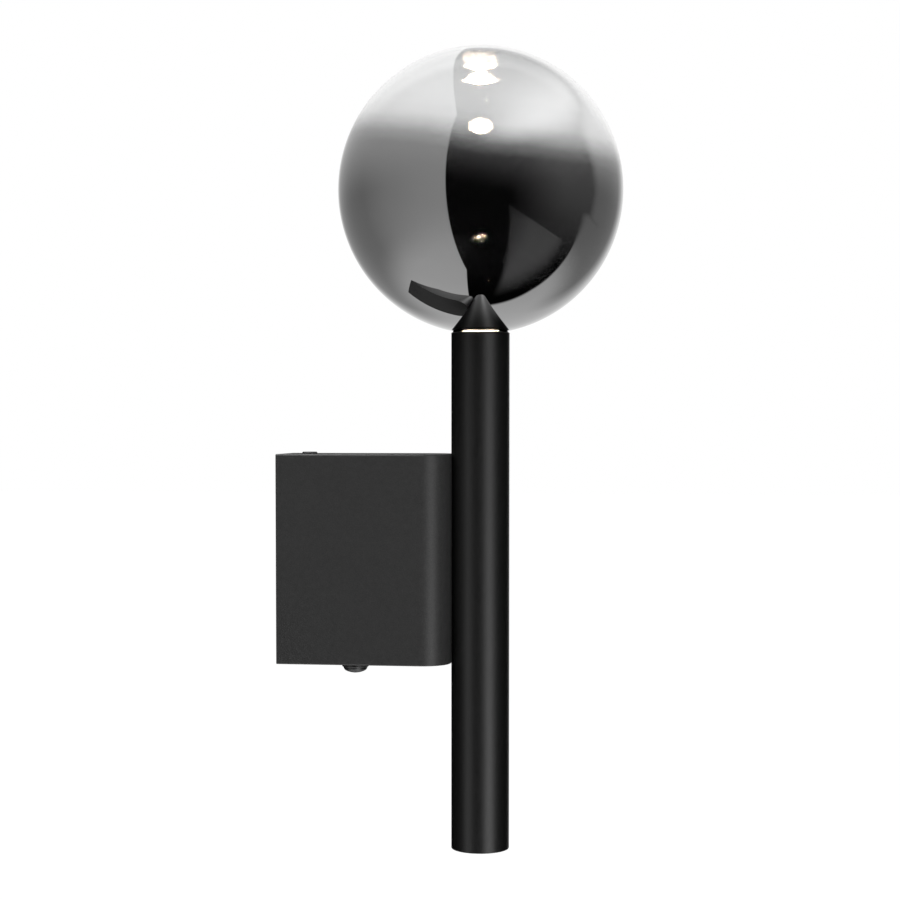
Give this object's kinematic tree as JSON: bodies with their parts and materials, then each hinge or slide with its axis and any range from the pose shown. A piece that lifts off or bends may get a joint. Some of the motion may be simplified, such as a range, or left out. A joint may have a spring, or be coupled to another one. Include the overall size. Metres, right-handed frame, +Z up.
{
  "type": "globe wall sconce",
  "caption": "Wall light: a mirror-faded glass globe on a slim upright tube, lit by an opal LED dome in the globe's neck, carried by a narrow wall box with a push button underneath.",
  "frame": {"origin": "on the wall, at the back face of the wall bracket, behind the middle of the wall box", "axes": "+X out of the wall, +Z up, +Y along the wall so that the tube and globe lie on the plane y = 0"},
  "size_m": [0.176, 0.146, 0.4127],
  "materials": {
    "box_powder_coat": "satin fine-texture powder coat, charcoal black",
    "tube_powder_coat": "satin fine-texture powder coat, black",
    "smoked_glass": "clear glass, fading to a dark chrome mirror low down",
    "clear_silicone": "clear silicone, slightly milky",
    "opal_plastic": "opal diffuser, satin",
    "phosphor": "yellow phosphor",
    "white_board": "white solder mask",
    "aluminium": "turned, bare",
    "zinc_steel": "zinc plated",
    "black_steel": "black oxide, satin",
    "button_black": "black, satin gloss",
    "black_rubber": "matte",
    "white_nylon": "translucent white nylon",
    "brass": "bright brass",
    "case_grey": "light grey moulded case",
    "board_green": "green solder mask",
    "tape_yellow": "yellow winding tape",
    "capacitor_sleeve": "shrunk sleeve",
    "wire_brown": "soft insulation",
    "wire_blue": "soft insulation",
    "wire_green": "soft insulation",
    "wire_red": "soft insulation",
    "wire_black": "soft insulation"
  },
  "bodies": {
    "lamp": {"wall_box": "box_powder_coat", "hook_bridge": "zinc_steel", "lock_screw": "black_steel", "wall_bracket": "zinc_steel", "lock_nut": "zinc_steel", "cable_grommet": "black_rubber", "terminal_block": "white_nylon", "terminal_screws": "brass", "terminal_fix_screw": "zinc_steel", "main_tube": "tube_powder_coat", "tube_end_cap": "tube_powder_coat", "tube_insert": "aluminium", "tube_screws": "zinc_steel", "tube_washers": "zinc_steel", "wire_bush": "black_rubber", "heat_sink": "aluminium", "heat_sink_grub": "black_steel", "led_board": "white_board", "led_emitter": "phosphor", "board_screws": "zinc_steel", "led_diffuser": "opal_plastic", "globe_glass": "smoked_glass", "globe_seal": "clear_silicone", "button_bezel": "button_black", "switch_housing": "case_grey", "button_spring": "zinc_steel", "switch_washer": "zinc_steel", "switch_nut": "zinc_steel", "switch_lugs": "brass", "driver_housing": "case_grey", "driver_lid": "case_grey", "driver_board": "board_green", "driver_transformer": "tape_yellow", "driver_capacitor": "capacitor_sleeve", "driver_terminals": "white_nylon", "driver_nuts": "zinc_steel", "earth_lug": "brass", "earth_nut": "zinc_steel", "live_wire": "wire_brown", "switched_wire": "wire_black", "neutral_wire": "wire_blue", "earth_wire": "wire_green", "led_lead_plus": "wire_red", "led_lead_minus": "wire_black"},
    "button": {"button_cap": "button_black", "stem_clip": "zinc_steel"}
  },
  "joints": [
    {"name": "button_press", "type": "slide", "parent": "lamp", "child": "button", "axis": [0, 0, 1], "range_m": [0, 0.0015], "stiffness_N_per_m": 1200, "springref_m": -0.0015, "deforming": ["button_spring"]}
  ]
}
